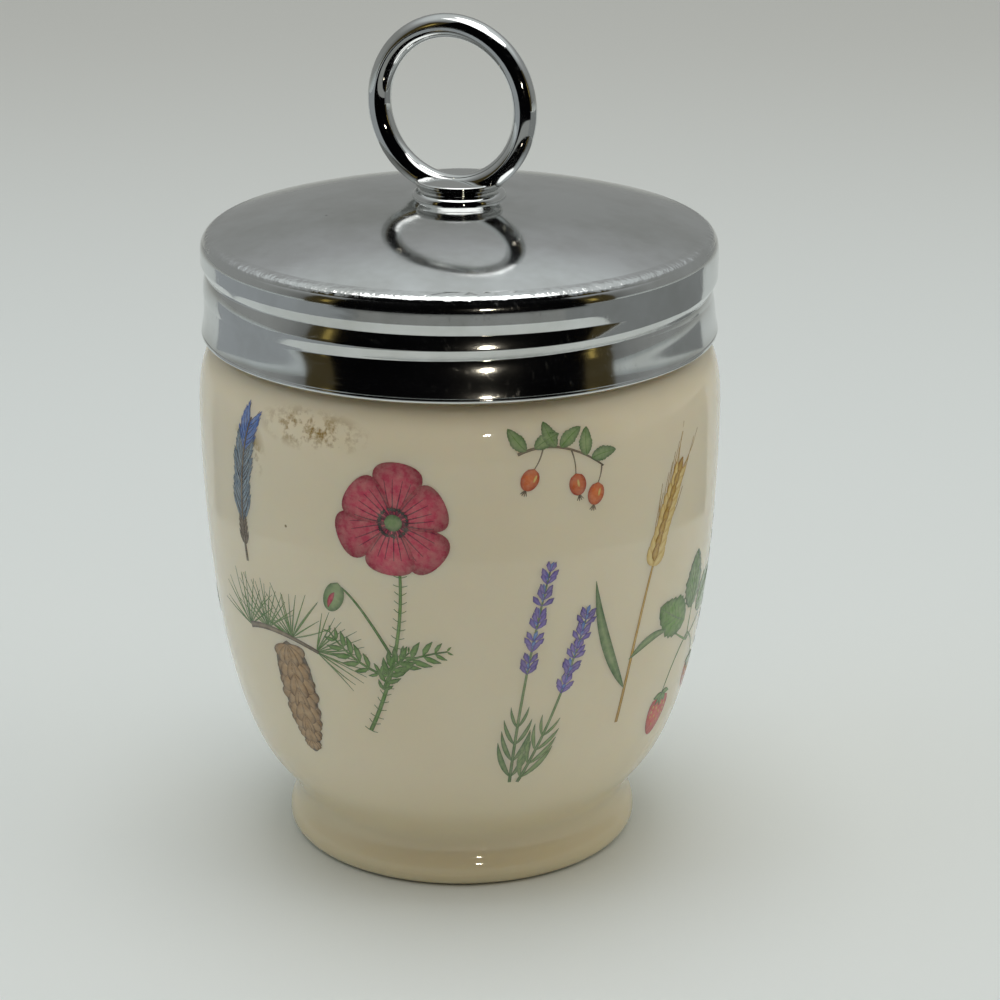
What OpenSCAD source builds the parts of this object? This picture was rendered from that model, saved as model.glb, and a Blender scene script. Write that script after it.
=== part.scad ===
// Egg coddler: a porcelain cup with a foot ring and a moulded neck thread, closed by
// a pressed steel screw lid that carries a wire finger ring on a turned boss.
// Millimetres, +Z up. The origin is the centre of the foot's contact circle.

/* [Cup] */
// Radius of the belly at its widest
belly_r = 33.2; // [32.4:0.1:36]
// Height of the widest part of the belly above the table
belly_z = 58; // [50:0.5:70]
// Height of the shoulder, from the widest part of the belly up to the foot of the neck
shoulder_h = 9.2; // [7:0.1:14]
// Outer radius of the neck, under the lid
neck_r = 30.2; // [28:0.1:30.8]
// Thickness of the porcelain wall
wall = 3; // [2.4:0.1:3.8]
// Thickness of the cup's floor
floor_t = 3.6; // [2.5:0.1:6]

/* [Foot] */
// Radius of the foot ring at its widest
foot_r = 22.9; // [20:0.1:25]
// Radius of the rounded outer edge of the foot ring
foot_edge_r = 1.7; // [1:0.1:2.4]
// Depth of the groove between the foot ring and the belly
foot_waist = 1; // [0.4:0.1:2]
// Height at which the belly starts
belly_start_z = 8.2; // [7:0.1:11]
// Width of the ground ring that the cup stands on
contact_w = 1; // [0.6:0.1:2]
// Depth of the recess under the cup
recess_h = 4.6; // [4.4:0.1:5.5]

/* [Thread] */
// Rise of the thread in one turn
lead = 4; // [3.7:0.05:4.4]
// Length of the thread rolled into the lid, in degrees
lid_thread_deg = 435; // [410:5:470]
// Length of the level run-out at the end of that thread, in degrees
runout_deg = 115; // [90:5:130]
// Depth of the groove rolled into the lid
groove_d = 0.65; // [0.4:0.05:0.8]
// Height of the ridge moulded on the neck
ridge_h = 1.25; // [0.9:0.05:1.4]
// Gap between the ridge on the neck and the lid around it
thread_gap = 0.25; // [0.2:0.05:0.8]
// Direction in which the rolled groove starts, seen from above
thread_start_deg = -104; // [-180:1:180]

/* [Lid] */
// Thickness of the sheet that the lid is pressed from
sheet = 0.5; // [0.35:0.05:0.7]
// Height from the lid's edge up to the start of the rolled groove
lower_band_h = 4.6; // [4.2:0.05:7]
// Height from the end of the rolled groove up to the edge of the dome
upper_band_h = 4.3; // [4.1:0.05:6]
// Height that the dome rises above its edge
dome_rise = 4.3; // [2:0.1:6]
// Radius of the rounded edge between the dome and the side
edge_r = 2.1; // [1.4:0.1:2.4]
// Gap between the lid's edge and the foot of the neck
skirt_gap = 0.5; // [0.3:0.1:1.5]
// Gap between the lid's inside and the rim
rest_gap = 0.3; // [0.1:0.05:0.6]

/* [Ring and boss] */
// Diameter of the ring's wire
wire_d = 2.95; // [2:0.05:3.6]
// Inner diameter of the finger ring
ring_inner_d = 17.1; // [14:0.1:24]
// Distance from the boss's axis to the ring's centre, which is soldered on a little to one side
ring_offset = 1; // [0:0.1:1.4]
// Radius of the boss's foot, on the lid
boss_foot_r = 5.9; // [5.6:0.1:8]
// Radius of the boss's top plate
boss_top_r = 5.5; // [4.8:0.1:6.2]
// Depth of the boss's waist, inside its top plate
boss_waist_d = 0.4; // [0.2:0.1:0.9]
// Height of the boss
boss_h = 2.5; // [2.3:0.1:4]
// Thickness of the boss under the ring's wire
boss_web = 0.3; // [0.3:0.05:1]
// Depth of the flat filed on the ring's wire, where it lies in the boss
ring_flat = 0.3; // [0.1:0.05:0.6]
// Radius of the rivet shank under the boss
shank_r = 2; // [1.4:0.1:2.6]
// Radius of the rivet's closed head, inside the lid
head_r = 3.1; // [2.9:0.1:4]
// Height of the rivet's closed head
head_h = 0.9; // [0.6:0.1:1.4]
// Radius of the backing washer
washer_r = 5.6; // [4.5:0.1:6.6]
// Thickness of the backing washer
washer_t = 0.8; // [0.5:0.1:1.5]

/* [Hidden] */
$fn = 96;

// Running clearances of the rivet and the washer, and of the ring in its groove
hole_gap = 0.1;
face_gap = 0.05;
solder_gap = 0.05;

// Cup: the floor, the foot of the neck and the inner radius of the mouth
floor_z = recess_h + floor_t;
shoulder_z = belly_z + shoulder_h;
mouth_r = neck_r - wall;
rim_mid_r = neck_r - wall / 2;

// Rolled groove: a helix that ends in a level run-out, its flanks straight down to a crease
level_deg = lid_thread_deg - runout_deg;
function groove_rise(turn) = lead * min(turn, level_deg) / 360;
upper_flank = lead * 0.35;
lower_flank = lead * 0.43;
fade_deg = 28;

// Lid side: the upper band stands off the neck by the ridge, its gap, the sheet and the
// amount that the lower band is drawn in
band_draw = 0.3;
lid_r = neck_r + ridge_h + thread_gap + sheet + band_draw;
lid_bottom_z = shoulder_z + skirt_gap;
groove_z = lid_bottom_z + lower_band_h;
crease_top_z = groove_z + groove_rise(level_deg);
lid_edge_z = crease_top_z + upper_band_h;

// Dome: flat where the boss sits, then falling as a parabola to the edge
seat_margin = 0.7;
seat_r = boss_foot_r + seat_margin;
function fall(r) = dome_rise * pow(max(r - seat_r, 0) / (lid_r - seat_r), 2);
crown_z = lid_edge_z + dome_rise;
function dome_z(r) = crown_z - fall(r);

// Rounded edge of the lid, tangent to the dome
edge_slope = atan(2 * dome_rise * (lid_r - edge_r - seat_r) / pow(lid_r - seat_r, 2));
edge_c_r = lid_r - edge_r;
edge_c_z = dome_z(edge_c_r + edge_r * sin(edge_slope)) - edge_r * cos(edge_slope);

// The cup's rim stands just under the lid's inside
rim_z = dome_z(rim_mid_r) - sheet - rest_gap;

// Moulded ridge: half a lead above the groove, so that it never meets it
ridge_start_deg = 15;
ridge_sweep_deg = level_deg - ridge_start_deg;
ridge_step_deg = 8;
ridge_root_half = 0.9;
ridge_tip_half = 0.3;
ridge_root_sink = 0.5;
ridge_end_share = 0.3;

// Ring: its flat lies in the boss, a web above the lid
wire_r = wire_d / 2;
ring_r = ring_inner_d / 2 + wire_r;
ring_seat_z = crown_z + boss_web;
ring_z = ring_seat_z - ring_flat + wire_r + ring_r;
washer_top_z = crown_z - sheet - face_gap;
head_top_z = washer_top_z - washer_t - face_gap;

// Points of a cubic curve, without its last point
function cubic(a, b, c, d, t) =
    pow(1 - t, 3) * a + 3 * t * pow(1 - t, 2) * b + 3 * t * t * (1 - t) * c + pow(t, 3) * d;
function curve(a, b, c, d, n) = [for (i = [0 : n - 1]) cubic(a, b, c, d, i / n)];
// Points of an arc, both ends included
function arc(c, r, from, to, n) =
    [for (i = [0 : n]) let (a = from + (to - from) * i / n) c + r * [cos(a), sin(a)]];

// Foot ring: a recess with sloped corners inside, a ground ring, and a swept outside
waist_r = foot_r - foot_waist;
foot_neck_z = belly_start_z - 1.8;
contact_r = foot_r - foot_edge_r;
ground_bevel = 0.7;
recess_r = contact_r - contact_w - ground_bevel;
recess_corner = [1.6, 1.1];
foot_sweep_z = [3.6, 4.2];
function foot_outline() = concat(
    [[0, recess_h], [recess_r - recess_corner[0], recess_h]],
    [[recess_r - recess_corner[0] / 3, recess_h - recess_corner[1]], [recess_r, ground_bevel]],
    [[contact_r - contact_w, 0]],
    arc([contact_r, foot_edge_r], foot_edge_r, -90, 0, 5),
    curve([foot_r, foot_edge_r], [foot_r, foot_sweep_z[0]], [waist_r, foot_sweep_z[1]],
          [waist_r, foot_neck_z], 6));

// Belly: one long sweep from the foot to the widest part, then the shoulder
belly_tuck = 1.6;
sweep_low = 5;
sweep_high = 14;
shoulder_round = [0.6, 1];
function belly_outline() = concat(
    curve([waist_r, belly_start_z], [belly_r - belly_tuck, belly_start_z + sweep_low],
          [belly_r, belly_z - sweep_high], [belly_r, belly_z], 20),
    curve([belly_r, belly_z], [belly_r, belly_z + shoulder_h / 2],
          [belly_r - shoulder_round[0], shoulder_z - shoulder_round[1]], [neck_r, shoulder_z], 8));
function rim_outline() =
    concat([[neck_r, shoulder_z]], arc([rim_mid_r, rim_z - wall / 2], wall / 2, 0, 180, 10));

// Inside of the cup: the mouth, the belly and a floor with a wide round corner
inner_r = belly_r - wall;
mouth_drop = [0.7, 4];
inner_sweep = [3.8, 20];
floor_corner = [8, 3.3];
function inner_outline() = concat(
    curve([mouth_r, shoulder_z - mouth_drop[0]], [mouth_r, shoulder_z - mouth_drop[1]],
          [inner_r, belly_z + inner_sweep[0]], [inner_r, belly_z], 8),
    curve([inner_r, belly_z], [inner_r, belly_z - inner_sweep[1]],
          [inner_r - belly_tuck, floor_z + floor_corner[1]], [foot_r - floor_corner[0], floor_z], 18),
    [[foot_r - floor_corner[0], floor_z], [0, floor_z]]);

module ridge() {
    count = ceil(ridge_sweep_deg / ridge_step_deg);
    rings = [for (k = [0 : count])
        let (turn = ridge_start_deg + ridge_sweep_deg * k / count,
             a = thread_start_deg + turn,
             z = groove_z + lead * turn / 360 + lead / 2,
             full = min(1, ridge_end_share + min(k, count - k) * ridge_step_deg / fade_deg),
             root = neck_r - ridge_root_sink,
             tip = neck_r + ridge_h * full)
        [for (p = [[root, -ridge_root_half], [tip, -ridge_tip_half], [tip, ridge_tip_half],
                   [root, ridge_root_half]])
            [p[0] * cos(a), p[0] * sin(a), z + p[1]]]];
    points = [for (ring = rings) for (p = ring) p];
    sides = [for (k = [0 : count - 1]) for (j = [0 : 3])
        let (a = 4 * k + j, b = 4 * k + (j + 1) % 4, c = a + 4, d = b + 4)
        each [[a, b, d], [a, d, c]]];
    last = 4 * count;
    caps = [[0, 2, 1], [0, 3, 2], [last, last + 1, last + 2], [last, last + 2, last + 3]];
    polyhedron(points, concat(sides, caps));
}

module cup() color("ivory") union() {
    rotate_extrude() polygon(concat(foot_outline(), belly_outline(), rim_outline(), inner_outline()));
    ridge();
}

// Depth of the rolled groove at an azimuth and a height: the deeper of its two turns
function fade(turn) = max(0, min(1, turn / fade_deg, (lid_thread_deg - turn) / fade_deg));
function flank(u) = max(0, 1 - (u > 0 ? u / upper_flank : -u / lower_flank));
function turn_of(a) = (a - thread_start_deg) - 360 * floor((a - thread_start_deg) / 360);
function groove(turn, z) = groove_d * max([for (t = [turn, turn + 360])
    fade(t) * flank(z - groove_z - groove_rise(t))]);

// Side of the lid before the groove is rolled: drawn in below it, and flared to the lip
lip_out = 0.12;
lip_h = 0.75;
flare_h = 1;
draw_share = 0.75;
side_line = [[lid_bottom_z, lid_r + lip_out], [lid_bottom_z + lip_h, lid_r + lip_out],
             [lid_bottom_z + lip_h + flare_h, lid_r - band_draw / 2],
             [groove_z - draw_share * lower_flank, lid_r - band_draw], [crease_top_z, lid_r]];
function side_r(turn, z) = lookup(z, side_line) - groove(turn, z);

// Rows of the lid's mesh keep to the groove's crease as it climbs
rows_per_turn = 8;
row_step = groove_rise(360) / rows_per_turn;
rows_below = ceil(lower_flank / row_step);
rows_above = ceil((crease_top_z - groove_z + upper_flank) / row_step) - 1;
lid_columns = 60;
row_slack = 0.0001;
function row_z(i, turn) = let (shift = groove_rise(turn) / row_step)
    groove_z + row_step * (i + shift - floor(shift + row_slack));

// Closed section of the lid at one azimuth: over the top, down the outside, up the inside
dome_radii = [for (s = [0, 0.25, 0.5, 0.75]) seat_r + s * (edge_c_r - seat_r)];
low_rows = [lid_bottom_z + lip_h + flare_h, lid_bottom_z + lip_h];
lip_curl = [[0, 0.25], [-0.3, 0], [-0.6, 0.2]];
edge_steps = 5;
function lid_section(turn) = let (
    groove_rows = [for (i = [-rows_below : rows_above]) row_z(i, turn)],
    last = len(groove_rows) - 1) concat(
    [[shank_r + hole_gap, crown_z]],
    [for (r = dome_radii) [r, dome_z(r)]],
    arc([edge_c_r, edge_c_z], edge_r, 90 - edge_slope, 0, edge_steps),
    [for (i = [last : -1 : 0]) [side_r(turn, groove_rows[i]), groove_rows[i]]],
    [for (z = low_rows) [lookup(z, side_line), z]],
    [for (p = lip_curl) [lid_r + p[0], lid_bottom_z + p[1]]],
    [for (i = [1, 0]) [lookup(low_rows[i], side_line) - sheet, low_rows[i]]],
    [for (z = groove_rows) [side_r(turn, z) - sheet, z]],
    arc([edge_c_r, edge_c_z], edge_r - sheet, 0, 90 - edge_slope, edge_steps - 1),
    [for (i = [3 : -1 : 0]) [dome_radii[i], dome_z(dome_radii[i]) - sheet]],
    [[shank_r + hole_gap, crown_z - sheet]]);
outside_rows = 1 + len(dome_radii) + edge_steps + 1 + rows_below + rows_above + 1;

module lid_shell() color("gainsboro") {
    angles = [for (k = [0 : lid_columns - 1]) thread_start_deg + 360 * k / lid_columns];
    sections = [for (a = angles) lid_section(turn_of(a + row_slack))];
    rows = len(sections[0]);
    points = [for (k = [0 : lid_columns - 1]) for (p = sections[k])
        [p[0] * cos(angles[k]), p[0] * sin(angles[k]), p[1]]];
    faces = [for (k = [0 : lid_columns - 1]) for (j = [0 : rows - 1])
        let (next_k = (k + 1) % lid_columns, next_j = (j + 1) % rows,
             a = k * rows + j, b = k * rows + next_j, c = next_k * rows + j, d = next_k * rows + next_j)
        each j < outside_rows ? [[a, c, b], [b, c, d]] : [[a, c, d], [a, d, b]]];
    polyhedron(points, faces);
}

module ring_torus(r) translate([-ring_offset, 0, ring_z]) rotate([90, 0, 0]) rotate_extrude()
    translate([ring_r, 0]) circle(r = r);

module below(z) translate([-lid_r, -lid_r, z - lid_r]) cube(lid_r * [2, 2, 1]);

module finger_ring() color("silver") difference() {
    ring_torus(wire_r);
    below(ring_seat_z);
}

// Boss: a plate over a shallow waist, over a foot that melts into the lid
plate_h = 0.9;
plate_bevel = 0.3;
boss_waist_z = [1.2, 1.5];
boss_foot = [0.4, 0.6, 0.25];
head_bevel = 0.6;

module boss() color("silver") difference() {
    top = crown_z + boss_h;
    boss_waist_r = boss_top_r - boss_waist_d;
    rotate_extrude() polygon([
        [0, top], [boss_top_r - plate_bevel, top], [boss_top_r, top - plate_bevel],
        [boss_top_r, top - plate_h], [boss_waist_r, top - boss_waist_z[0]],
        [boss_waist_r, top - boss_waist_z[1]],
        [boss_foot_r - boss_foot[0], crown_z + boss_foot[1]], [boss_foot_r, crown_z + boss_foot[2]],
        [boss_foot_r, crown_z], [shank_r, crown_z], [shank_r, head_top_z], [head_r, head_top_z],
        [head_r, head_top_z - head_h / 2], [head_r - head_bevel, head_top_z - head_h],
        [0, head_top_z - head_h]]);
    difference() {
        ring_torus(wire_r + solder_gap);
        below(ring_seat_z - solder_gap);
    }
}

module backing_washer() color("lightgray") translate([0, 0, washer_top_z - washer_t]) difference() {
    cylinder(r = washer_r, h = washer_t);
    translate([0, 0, -washer_t]) cylinder(r = shank_r + hole_gap, h = 3 * washer_t);
}

cup();
lid_shell();
boss();
finger_ring();
backing_washer();
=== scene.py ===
# Egg coddler: a glazed porcelain cup painted with country sprigs, and a plated steel screw
# lid that carries a wire finger ring.
import bpy
import bmesh
import math
import random
from mathutils import Matrix, Vector


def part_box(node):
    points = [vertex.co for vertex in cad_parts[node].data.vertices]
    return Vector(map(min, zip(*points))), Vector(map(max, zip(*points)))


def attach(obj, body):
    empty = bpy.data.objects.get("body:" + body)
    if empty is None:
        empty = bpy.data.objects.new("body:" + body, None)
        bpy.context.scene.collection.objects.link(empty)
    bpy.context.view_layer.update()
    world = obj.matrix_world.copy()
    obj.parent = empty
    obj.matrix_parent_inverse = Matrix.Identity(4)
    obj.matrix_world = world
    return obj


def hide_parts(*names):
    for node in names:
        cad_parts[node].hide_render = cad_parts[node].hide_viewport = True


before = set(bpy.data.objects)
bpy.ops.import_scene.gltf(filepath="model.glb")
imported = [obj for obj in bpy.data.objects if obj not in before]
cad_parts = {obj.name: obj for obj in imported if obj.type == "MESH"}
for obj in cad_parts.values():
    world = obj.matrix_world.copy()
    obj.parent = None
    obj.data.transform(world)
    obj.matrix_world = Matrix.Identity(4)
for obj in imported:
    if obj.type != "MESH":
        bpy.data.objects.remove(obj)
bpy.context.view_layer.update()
mm = 0.001


def hexColour(code):
    # sRGB hex to the linear values that shaders take
    values = [int(code[i:i + 2], 16) / 255 for i in (1, 3, 5)]
    return [v / 12.92 if v <= 0.04045 else ((v + 0.055) / 1.055) ** 2.4 for v in values] + [1.0]


def perMetre(size):
    # a texture's scale from the size of its pattern in mm
    return 1 / (size * mm)


def addNode(tree, kind, settings=None, inputs=None):
    # inputs are values, or sockets to link from
    node = tree.nodes.new(kind)
    for key, value in (settings or {}).items():
        setattr(node, key, value)
    for key, value in (inputs or {}).items():
        if isinstance(value, bpy.types.NodeSocket):
            tree.links.new(value, node.inputs[key])
        else:
            node.inputs[key].default_value = value
    return node


def newMaterial(name):
    material = bpy.data.materials.new(name)
    material.use_nodes = True
    tree = material.node_tree
    return material, tree, tree.nodes["Principled BSDF"]


def newTree(name, inputs, geometryIn=False):
    tree = bpy.data.node_groups.new(name, "GeometryNodeTree")
    tree.interface.new_socket("Geometry", in_out="OUTPUT", socket_type="NodeSocketGeometry")
    if geometryIn:
        tree.interface.new_socket("Geometry", in_out="INPUT", socket_type="NodeSocketGeometry")
    for label, kind in inputs.items():
        tree.interface.new_socket(label, in_out="INPUT", socket_type="NodeSocket" + kind)
    return tree, addNode(tree, "NodeGroupInput").outputs


def closeTree(tree, geometry, finish):
    # every tree ends the same way: real geometry with its material
    real = addNode(tree, "GeometryNodeRealizeInstances", None, {"Geometry": geometry})
    dressed = addNode(tree, "GeometryNodeSetMaterial", None, {
        "Geometry": real.outputs["Geometry"], "Material": finish})
    addNode(tree, "NodeGroupOutput", None, {"Geometry": dressed.outputs["Geometry"]})
    return tree


def addObject(name, mesh, material=None):
    made = bpy.data.objects.new(name, mesh)
    bpy.context.scene.collection.objects.link(made)
    if material:
        mesh.materials.append(material)
    return made


def applyModifiers(made):
    # the object keeps its evaluated shape as a plain mesh
    mesh = bpy.data.meshes.new_from_object(made.evaluated_get(bpy.context.evaluated_depsgraph_get()))
    made.modifiers.clear()
    made.data = mesh
    mesh.name = made.name
    return made


def fromTree(name, tree, inputs, base=None):
    made = addObject(name, base or bpy.data.meshes.new(name))
    modifier = made.modifiers.new("shape", "NODES")
    modifier.node_group = tree
    for item in tree.interface.items_tree:
        if item.in_out == "INPUT" and item.name in inputs:
            modifier[item.identifier] = inputs[item.name]
    return applyModifiers(made)


def tidyMesh(mesh, sharpDeg):
    work = bmesh.new()
    work.from_mesh(mesh)
    bmesh.ops.recalc_face_normals(work, faces=work.faces)
    work.to_mesh(mesh)
    work.free()
    mesh.shade_smooth()
    mesh.set_sharp_from_angle(angle=math.radians(sharpDeg))


def cubic(a, b, c, d, steps):
    # points of a cubic curve from a to d, without its last one; b and c are its handles
    points = []
    for i in range(steps):
        t = i / steps
        w = ((1 - t) ** 3, 3 * t * (1 - t) ** 2, 3 * t * t * (1 - t), t ** 3)
        points.append(tuple(w[0] * a[k] + w[1] * b[k] + w[2] * c[k] + w[3] * d[k] for k in (0, 1)))
    return points


def arc(centre, radius, start, end, steps):
    # degrees; both ends are in it
    turns = [math.radians(start + (end - start) * i / steps) for i in range(steps + 1)]
    return [(centre[0] + radius * math.cos(a), centre[1] + radius * math.sin(a)) for a in turns]


def line(a, b, steps):
    # without its last point
    return [(a[0] + (b[0] - a[0]) * i / steps, a[1] + (b[1] - a[1]) * i / steps) for i in range(steps)]


def turnedMesh(name, section, columns, startDeg=0.0, sharpDeg=35):
    # section(turn) gives the outline in mm at that turn past startDeg; an outline that
    # starts and ends on the axis is closed by poles, any other one by joining its ends
    outlines = [section(360 * k / columns) for k in range(columns)]
    poles = outlines[0][0][0] == 0
    rows = range(1, len(outlines[0]) - 1) if poles else range(len(outlines[0]))
    count = len(rows)
    points, faces = [], []
    for k, outline in enumerate(outlines):
        a = math.radians(startDeg + 360 * k / columns)
        for j in rows:
            r, z = outline[j]
            points.append((r * mm * math.cos(a), r * mm * math.sin(a), z * mm))
    for k in range(columns):
        here, there = k * count, (k + 1) % columns * count
        for j in range(count - 1 if poles else count):
            up = (j + 1) % count
            faces.append((here + j, there + j, there + up, here + up))
    if poles:
        for row, flip in ((0, True), (len(outlines[0]) - 1, False)):
            tip = len(points)
            points.append((0, 0, outlines[0][row][1] * mm))
            edge = 0 if row == 0 else count - 1
            for k in range(columns):
                pair = (k * count + edge, (k + 1) % columns * count + edge)
                faces.append((tip, pair[1], pair[0]) if flip else (tip, pair[0], pair[1]))
    mesh = bpy.data.meshes.new(name)
    mesh.from_pydata(points, [], faces)
    tidyMesh(mesh, sharpDeg)
    return mesh


# the camera was fitted to the ellipses of the lid and the foot; degrees and mm
camera = {"lens": 106.2, "sensor": 36.0, "nearest": 10.0, "pitch": 19.72, "turn": 26.0, "pan": 0.81,
          "distance": 382.1, "aimZ": 44.3}


def makeCamera():
    made = bpy.data.objects.new("camera", bpy.data.cameras.new("camera"))
    bpy.context.scene.collection.objects.link(made)
    made.data.lens = camera["lens"]
    made.data.sensor_width = camera["sensor"]
    made.data.clip_start = camera["nearest"] * mm
    pitch = math.radians(camera["pitch"])
    spin = Matrix.Rotation(math.radians(camera["turn"]), 4, "Z")
    pan = Matrix.Rotation(math.radians(-camera["pan"]), 4, "Z")
    tilt = Matrix.Rotation(math.pi / 2 - pitch, 4, "X")
    back = spin @ Vector((0, -math.cos(pitch), math.sin(pitch))) * camera["distance"] * mm
    made.matrix_world = Matrix.Translation(Vector((0, 0, camera["aimZ"] * mm)) + back) @ spin @ pan @ tilt
    bpy.context.scene.camera = made


makeCamera()
print("camera set")

# sizes in mm; a rim and a core are shares of a cell of the grid
glazeFinish = {"cream": "#f0e5cb", "creamDeep": "#eadcbe", "cloudMm": 17,
               "footTone": "#dccda4", "footToneFromZ": 22, "footToneToZ": 2, "footToneShare": 0.6,
               "speck": "#8a7a55", "speckMm": 5.3, "speckRim": 0.045, "speckCore": 0.02, "speckShare": 0.2,
               "rippleMm": 9.091, "rippleHigh": 0.4, "rippleStrength": 0.04, "roughness": 0.05, "ior": 1.52,
               "depthMm": 3, "depthShare": 0.5, "depthTint": (1.0, 0.8, 0.5)}
# each patch has its turn from the camera's side, height, half width and half height
teaStain = {"colour": "#96731f", "share": 0.9, "blotMm": 3.2, "blotFrom": 0.46, "blotTo": 0.57,
            "wallR": 32.6, "core": 0.35, "patches": [(-33, 63.0, 8.5, 2.8), (-51, 58.5, 3.6, 4.2)]}


def stainMask(tree, where, patch):
    # a soft oval patch on the wall
    turn, high, halfWide, halfHigh = patch
    a = math.radians(camera["turn"] + turn)
    centre = Vector((math.sin(a) * teaStain["wallR"], -math.cos(a) * teaStain["wallR"], high)) * mm
    scale = Vector((1 / halfWide, 1 / halfWide, 1 / halfHigh)) / mm
    moved = addNode(tree, "ShaderNodeMapping", None, {
        "Vector": where, "Location": [-c * s for c, s in zip(centre, scale)], "Scale": scale})
    away = addNode(tree, "ShaderNodeVectorMath", {"operation": "LENGTH"}, {0: moved.outputs["Vector"]})
    return addNode(tree, "ShaderNodeMapRange", None, {
        "Value": away.outputs["Value"], "From Min": 1.0, "From Max": teaStain["core"]}).outputs["Result"]


def porcelainGlaze():
    # bone porcelain, slip cast, under a clear lead-free glaze: warm cream, wet gloss, a little depth
    g, tea = glazeFinish, teaStain
    material, tree, shader = newMaterial("porcelainGlaze")
    where = addNode(tree, "ShaderNodeTexCoord").outputs["Object"]
    cloud = addNode(tree, "ShaderNodeTexNoise", None, {
        "Vector": where, "Scale": perMetre(g["cloudMm"]), "Detail": 3})
    tone = addNode(tree, "ShaderNodeMix", {"data_type": "RGBA"}, {
        "Factor": cloud.outputs["Fac"], "A": hexColour(g["cream"]), "B": hexColour(g["creamDeep"])})
    # the glaze is darker and warmer in tone towards the foot
    high = addNode(tree, "ShaderNodeSeparateXYZ", None, {"Vector": where}).outputs["Z"]
    low = addNode(tree, "ShaderNodeMapRange", {"interpolation_type": "SMOOTHSTEP"}, {
        "Value": high, "From Min": g["footToneFromZ"] * mm, "From Max": g["footToneToZ"] * mm,
        "To Max": g["footToneShare"]})
    tone = addNode(tree, "ShaderNodeMix", {"data_type": "RGBA"}, {
        "Factor": low.outputs["Result"], "A": tone.outputs["Result"], "B": hexColour(g["footTone"])})
    # firing specks: pinholes of 0.3 mm, in one cell in five of a 5 mm grid
    speck = addNode(tree, "ShaderNodeTexVoronoi", None, {"Vector": where, "Scale": perMetre(g["speckMm"])})
    dot = addNode(tree, "ShaderNodeMapRange", None, {
        "Value": speck.outputs["Distance"], "From Min": g["speckRim"], "From Max": g["speckCore"]})
    pick = addNode(tree, "ShaderNodeMath", {"operation": "GREATER_THAN"}, {
        0: speck.outputs["Color"], 1: 1 - g["speckShare"]})
    both = addNode(tree, "ShaderNodeMath", {"operation": "MULTIPLY"}, {
        0: dot.outputs["Result"], 1: pick.outputs[0]})
    specked = addNode(tree, "ShaderNodeMix", {"data_type": "RGBA"}, {
        "Factor": both.outputs[0], "A": tone.outputs["Result"], "B": hexColour(g["speck"])})
    # old tea stains under the lid, broken into blots of a millimetre or two
    blot = addNode(tree, "ShaderNodeTexNoise", None, {
        "Vector": where, "Scale": perMetre(tea["blotMm"]), "Detail": 4, "Roughness": 0.7})
    edge = addNode(tree, "ShaderNodeMapRange", None, {
        "Value": blot.outputs["Fac"], "From Min": tea["blotFrom"], "From Max": tea["blotTo"]})
    masks = [stainMask(tree, where, patch) for patch in tea["patches"]]
    mask = addNode(tree, "ShaderNodeMath", {"operation": "MAXIMUM"}, {0: masks[0], 1: masks[1]})
    blots = addNode(tree, "ShaderNodeMath", {"operation": "MULTIPLY"}, {
        0: mask.outputs[0], 1: edge.outputs["Result"]})
    faint = addNode(tree, "ShaderNodeMath", {"operation": "MULTIPLY"}, {0: blots.outputs[0], 1: tea["share"]})
    stained = addNode(tree, "ShaderNodeMix", {"data_type": "RGBA"}, {
        "Factor": faint.outputs[0], "A": specked.outputs["Result"], "B": hexColour(tea["colour"])})
    tree.links.new(stained.outputs["Result"], shader.inputs["Base Color"])
    # slow waves, as a dipped glaze has
    ripple = addNode(tree, "ShaderNodeTexNoise", None, {
        "Vector": where, "Scale": perMetre(g["rippleMm"]), "Detail": 1})
    bump = addNode(tree, "ShaderNodeBump", None, {
        "Height": ripple.outputs["Fac"], "Strength": g["rippleStrength"], "Distance": g["rippleHigh"] * mm})
    tree.links.new(bump.outputs["Normal"], shader.inputs["Normal"])
    shader.inputs["Roughness"].default_value = g["roughness"]
    shader.inputs["IOR"].default_value = g["ior"]
    shader.inputs["Subsurface Weight"].default_value = g["depthShare"]
    shader.inputs["Subsurface Scale"].default_value = g["depthMm"] * mm
    shader.inputs["Subsurface Radius"].default_value = g["depthTint"]
    return material


enamelFinish = {"mottleMm": 1, "mottleShare": 0.18, "roughness": 0.14, "ior": 1.52}


def overglazeEnamel():
    # china paint fired onto the glaze: thin watercolour washes that pool darker at their rims
    material, tree, shader = newMaterial("overglazeEnamel")
    where = addNode(tree, "ShaderNodeTexCoord").outputs["Object"]
    paint = addNode(tree, "ShaderNodeAttribute", {"attribute_name": "paint"}).outputs["Color"]
    wash = addNode(tree, "ShaderNodeTexNoise", None, {
        "Vector": where, "Scale": perMetre(enamelFinish["mottleMm"]), "Detail": 4, "Roughness": 0.65})
    strength = addNode(tree, "ShaderNodeMapRange", None, {
        "Value": wash.outputs["Fac"], "From Min": 0.35, "From Max": 0.7,
        "To Max": enamelFinish["mottleShare"]})
    tone = addNode(tree, "ShaderNodeMix", {"data_type": "RGBA"}, {
        "Factor": strength.outputs["Result"], "A": paint, "B": hexColour(glazeFinish["cream"])})
    tree.links.new(tone.outputs["Result"], shader.inputs["Base Color"])
    shader.inputs["Roughness"].default_value = enamelFinish["roughness"]
    shader.inputs["IOR"].default_value = enamelFinish["ior"]
    return material


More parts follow.
